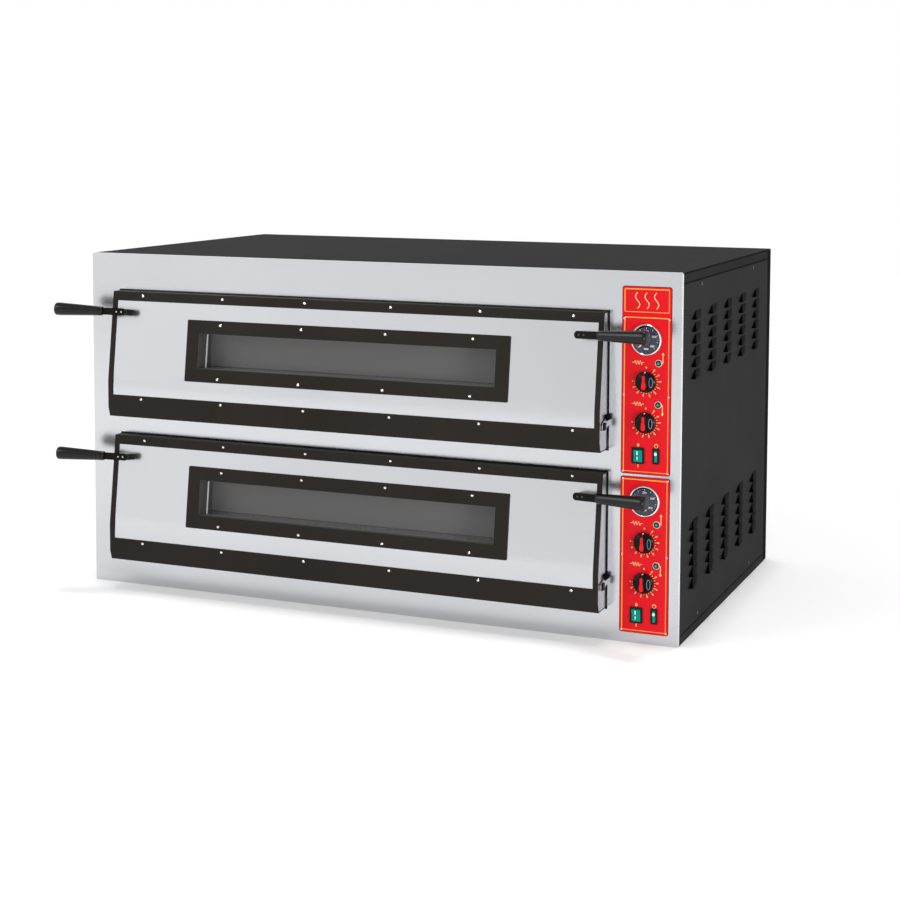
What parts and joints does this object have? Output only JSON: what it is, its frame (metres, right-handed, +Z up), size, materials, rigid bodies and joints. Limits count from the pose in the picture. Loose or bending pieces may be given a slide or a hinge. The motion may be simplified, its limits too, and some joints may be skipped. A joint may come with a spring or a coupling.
{
  "type": "countertop pizza oven",
  "caption": "Two-deck electric pizza oven with bottom-hinged glazed drop-down doors, side handles, baking stones and a control column.",
  "frame": {"origin": "centre of the casing's footprint, on the surface it stands on", "axes": "+X to the right across the front, +Y from the front to the back, +Z up"},
  "size_m": [1.4166, 0.9291, 0.75],
  "materials": {
    "casing_paint": "satin powder coat",
    "front_steel": "satin brushed",
    "liner_steel": "aluminised sheet",
    "stone": "rough cordierite stone",
    "element_steel": "heat-blackened sheath",
    "mineral_wool": "fibrous board",
    "lamp_glass": "heat-proof glass",
    "red_plate": "gloss enamel",
    "chrome_trim": "polished",
    "dial_slate": "matt print",
    "clear_glass": "flat glass",
    "green_lens": "translucent green",
    "black_plastic": "fine moulded",
    "cream_plastic": "ceramic terminal block",
    "screw_steel": "bright zinc",
    "frame_black": "satin black paint",
    "oven_glass": "heat-proof glass",
    "bar_black": "satin black paint",
    "grip_black": "polished bakelite",
    "knob_black": "gloss bakelite",
    "green_rocker": "translucent green",
    "white_paint": "satin"
  },
  "bodies": {
    "oven": {"base_pan": "casing_paint", "back_panel": "casing_paint", "left_side_panel": "casing_paint", "right_side_panel": "casing_paint", "top_cover": "casing_paint", "front_panel": "front_steel", "upper_door_surround": "liner_steel", "lower_door_surround": "liner_steel", "upper_chamber": "liner_steel", "lower_chamber": "liner_steel", "upper_stones": "stone", "lower_stones": "stone", "upper_elements": "element_steel", "lower_elements": "element_steel", "insulation_boards": "mineral_wool", "control_bay_wall": "liner_steel", "chamber_lamps": "lamp_glass", "upper_control_plate": "red_plate", "lower_control_plate": "red_plate", "gauge_cases": "chrome_trim", "gauge_dials": "dial_slate", "gauge_glasses": "clear_glass", "thermostats": "liner_steel", "pilot_lamp_rings": "chrome_trim", "pilot_lamp_lenses": "green_lens", "rocker_cases": "black_plastic", "hinge_brackets": "liner_steel", "terminal_block": "cream_plastic", "cable_gland": "black_plastic", "casing_screws": "screw_steel"},
    "upper_door": {"upper_door_frame": "frame_black", "upper_door_panel": "front_steel", "upper_window_frame": "frame_black", "upper_door_glasses": "oven_glass", "upper_door_liner": "liner_steel", "upper_door_insulation": "mineral_wool", "upper_hinge_pins": "frame_black", "upper_handle_bars": "bar_black", "upper_handle_grips": "grip_black", "upper_door_screws": "screw_steel"},
    "lower_door": {"lower_door_frame": "frame_black", "lower_door_panel": "front_steel", "lower_window_frame": "frame_black", "lower_door_glasses": "oven_glass", "lower_door_liner": "liner_steel", "lower_door_insulation": "mineral_wool", "lower_hinge_pins": "frame_black", "lower_handle_bars": "bar_black", "lower_handle_grips": "grip_black", "lower_door_screws": "screw_steel"},
    "upper_top_heat_knob": {"upper_top_heat_knob": "knob_black"},
    "upper_bottom_heat_knob": {"upper_bottom_heat_knob": "knob_black"},
    "upper_heat_rocker": {"upper_heat_rocker": "green_rocker"},
    "upper_light_rocker": {"upper_light_rocker": "green_rocker"},
    "upper_gauge_needle": {"upper_gauge_needle": "white_paint"},
    "lower_top_heat_knob": {"lower_top_heat_knob": "knob_black"},
    "lower_bottom_heat_knob": {"lower_bottom_heat_knob": "knob_black"},
    "lower_heat_rocker": {"lower_heat_rocker": "green_rocker"},
    "lower_light_rocker": {"lower_light_rocker": "green_rocker"},
    "lower_gauge_needle": {"lower_gauge_needle": "white_paint"}
  },
  "joints": [
    {"name": "upper_door_hinge", "type": "hinge", "parent": "oven", "child": "upper_door", "pos_m": [-0.0385, -0.433, 0.441], "axis": [1, 0, 0], "range_deg": [0, 88]},
    {"name": "lower_door_hinge", "type": "hinge", "parent": "oven", "child": "lower_door", "pos_m": [-0.0385, -0.433, 0.117], "axis": [1, 0, 0], "range_deg": [0, 88]},
    {"name": "upper_top_heat_knob_turn", "type": "hinge", "parent": "oven", "child": "upper_top_heat_knob", "pos_m": [0.614, -0.4, 0.531], "axis": [0, 1, 0], "range_deg": [0, 300]},
    {"name": "upper_bottom_heat_knob_turn", "type": "hinge", "parent": "oven", "child": "upper_bottom_heat_knob", "pos_m": [0.614, -0.4, 0.449], "axis": [0, 1, 0], "range_deg": [0, 300]},
    {"name": "upper_heat_rocker_tilt", "type": "hinge", "parent": "oven", "child": "upper_heat_rocker", "pos_m": [0.599, -0.4, 0.382], "axis": [-1, 0, 0], "range_deg": [0, 14]},
    {"name": "upper_light_rocker_tilt", "type": "hinge", "parent": "oven", "child": "upper_light_rocker", "pos_m": [0.636, -0.4, 0.383], "axis": [-1, 0, 0], "range_deg": [0, 14]},
    {"name": "upper_gauge_needle_turn", "type": "hinge", "parent": "oven", "child": "upper_gauge_needle", "pos_m": [0.614, -0.4, 0.615], "axis": [0, 1, 0], "range_deg": [0, 270]},
    {"name": "lower_top_heat_knob_turn", "type": "hinge", "parent": "oven", "child": "lower_top_heat_knob", "pos_m": [0.614, -0.4, 0.207], "axis": [0, 1, 0], "range_deg": [0, 300]},
    {"name": "lower_bottom_heat_knob_turn", "type": "hinge", "parent": "oven", "child": "lower_bottom_heat_knob", "pos_m": [0.614, -0.4, 0.125], "axis": [0, 1, 0], "range_deg": [0, 300]},
    {"name": "lower_heat_rocker_tilt", "type": "hinge", "parent": "oven", "child": "lower_heat_rocker", "pos_m": [0.599, -0.4, 0.058], "axis": [-1, 0, 0], "range_deg": [0, 14]},
    {"name": "lower_light_rocker_tilt", "type": "hinge", "parent": "oven", "child": "lower_light_rocker", "pos_m": [0.636, -0.4, 0.059], "axis": [-1, 0, 0], "range_deg": [0, 14]},
    {"name": "lower_gauge_needle_turn", "type": "hinge", "parent": "oven", "child": "lower_gauge_needle", "pos_m": [0.614, -0.4, 0.291], "axis": [0, 1, 0], "range_deg": [0, 270]}
  ]
}
